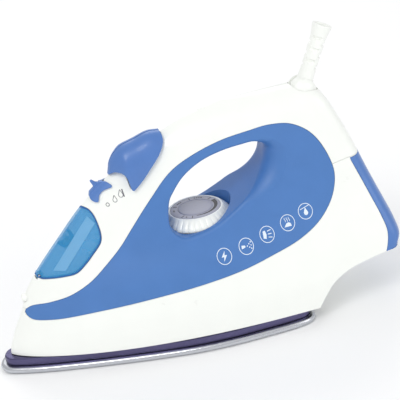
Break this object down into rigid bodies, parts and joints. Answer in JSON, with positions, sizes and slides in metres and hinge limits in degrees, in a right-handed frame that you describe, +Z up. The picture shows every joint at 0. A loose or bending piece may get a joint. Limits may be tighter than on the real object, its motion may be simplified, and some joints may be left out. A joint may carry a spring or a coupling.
{
  "type": "steam iron",
  "caption": "Steam iron with a closed handle loop, thermostat dial, two thumb buttons, steam selector, clear filler door, heel rest and a swivelling cord guard.",
  "frame": {"origin": "middle of the bounding box, on the plane of the ironing face", "axes": "+X from the nose to the heel, +Y to the iron's right, +Z up from the ironing face"},
  "size_m": [0.292, 0.1058, 0.1973],
  "materials": {
    "white_plastic": "moulded, gloss",
    "blue_plastic": "moulded, satin gloss",
    "clear_blue": "clear tinted plastic",
    "smoked_clear": "clear plastic",
    "dial_print": "printed grey",
    "amber_lens": "clear tinted plastic",
    "steel": "polished",
    "cast_alloy": "polished casting",
    "brass": "machined",
    "rubber": "matt",
    "dark_plastic": "moulded"
  },
  "bodies": {
    "iron": {"cord_clamp": "dark_plastic", "door_hinge_pin": "steel", "drip_valve_seat": "rubber", "heating_element": "cast_alloy", "heel_cap": "blue_plastic", "heel_screw": "steel", "lead_left": "rubber", "lead_right": "rubber", "lower_skirt": "white_plastic", "pilot_lamp_lens": "amber_lens", "side_body": "blue_plastic", "sole_casting": "cast_alloy", "sole_screw_front": "steel", "sole_screw_left": "steel", "sole_screw_right": "steel", "soleplate": "steel", "spray_nozzle": "white_plastic", "spray_pump_body": "smoked_clear", "spray_spring": "steel", "spray_tube": "rubber", "steam_burst_pump_body": "smoked_clear", "steam_burst_spring": "steel", "steam_burst_tube": "rubber", "steam_chamber_cover": "steel", "terminal_block": "dark_plastic", "thermal_fuse": "rubber", "thermostat": "brass", "top_cover": "white_plastic", "valve_spring": "steel", "water_tank": "smoked_clear"},
    "dial": {"thermostat_dial": "white_plastic", "dial_face": "dial_print", "dial_shaft": "brass"},
    "selector": {"steam_selector": "blue_plastic"},
    "valve_rod": {"steam_valve_rod": "brass"},
    "spray_plunger": {"spray_button": "blue_plastic", "spray_piston": "white_plastic"},
    "steam_plunger": {"steam_burst_button": "blue_plastic", "steam_burst_piston": "white_plastic"},
    "door": {"filler_door": "clear_blue", "door_seal": "rubber"},
    "turret": {"cord_turret": "white_plastic"},
    "guard": {"cord_guard": "white_plastic"}
  },
  "joints": [
    {"name": "dial_turn", "type": "hinge", "parent": "iron", "child": "dial", "pos_m": [0.01, 0, 0.08], "axis": [0, 0, 1], "range_deg": [0, 270]},
    {"name": "selector_slide", "type": "slide", "parent": "iron", "child": "selector", "axis": [0.7873, 0, 0.6166], "range_m": [0, 0.0045]},
    {"name": "valve_rod_lift", "type": "slide", "parent": "iron", "child": "valve_rod", "axis": [0, 0, 1], "range_m": [0, 0.0015], "deforming": ["valve_spring"]},
    {"name": "spray_press", "type": "slide", "parent": "iron", "child": "spray_plunger", "axis": [0, 0, -1], "range_m": [0, 0.003], "stiffness_N_per_m": 900, "springref_m": -0.002, "deforming": ["spray_spring"]},
    {"name": "steam_burst_press", "type": "slide", "parent": "iron", "child": "steam_plunger", "axis": [0, 0, -1], "range_m": [0, 0.003], "stiffness_N_per_m": 900, "springref_m": -0.002, "deforming": ["steam_burst_spring"]},
    {"name": "door_open", "type": "hinge", "parent": "iron", "child": "door", "pos_m": [-0.1058, 0, 0.0654], "axis": [0, -1, 0], "range_deg": [0, 75]},
    {"name": "cord_swivel", "type": "hinge", "parent": "iron", "child": "turret", "pos_m": [0.0974, 0, 0.1524], "axis": [0.4352, 0, 0.9003], "range_deg": [-170, 170]},
    {"name": "cord_tilt", "type": "hinge", "parent": "turret", "child": "guard", "pos_m": [0.0974, 0, 0.1524], "axis": [0, 1, 0], "range_deg": [-30, 30]}
  ],
  "couplings": [
    {"joint": "valve_rod_lift", "follows": "selector_slide", "ratio": 0.3333}
  ]
}
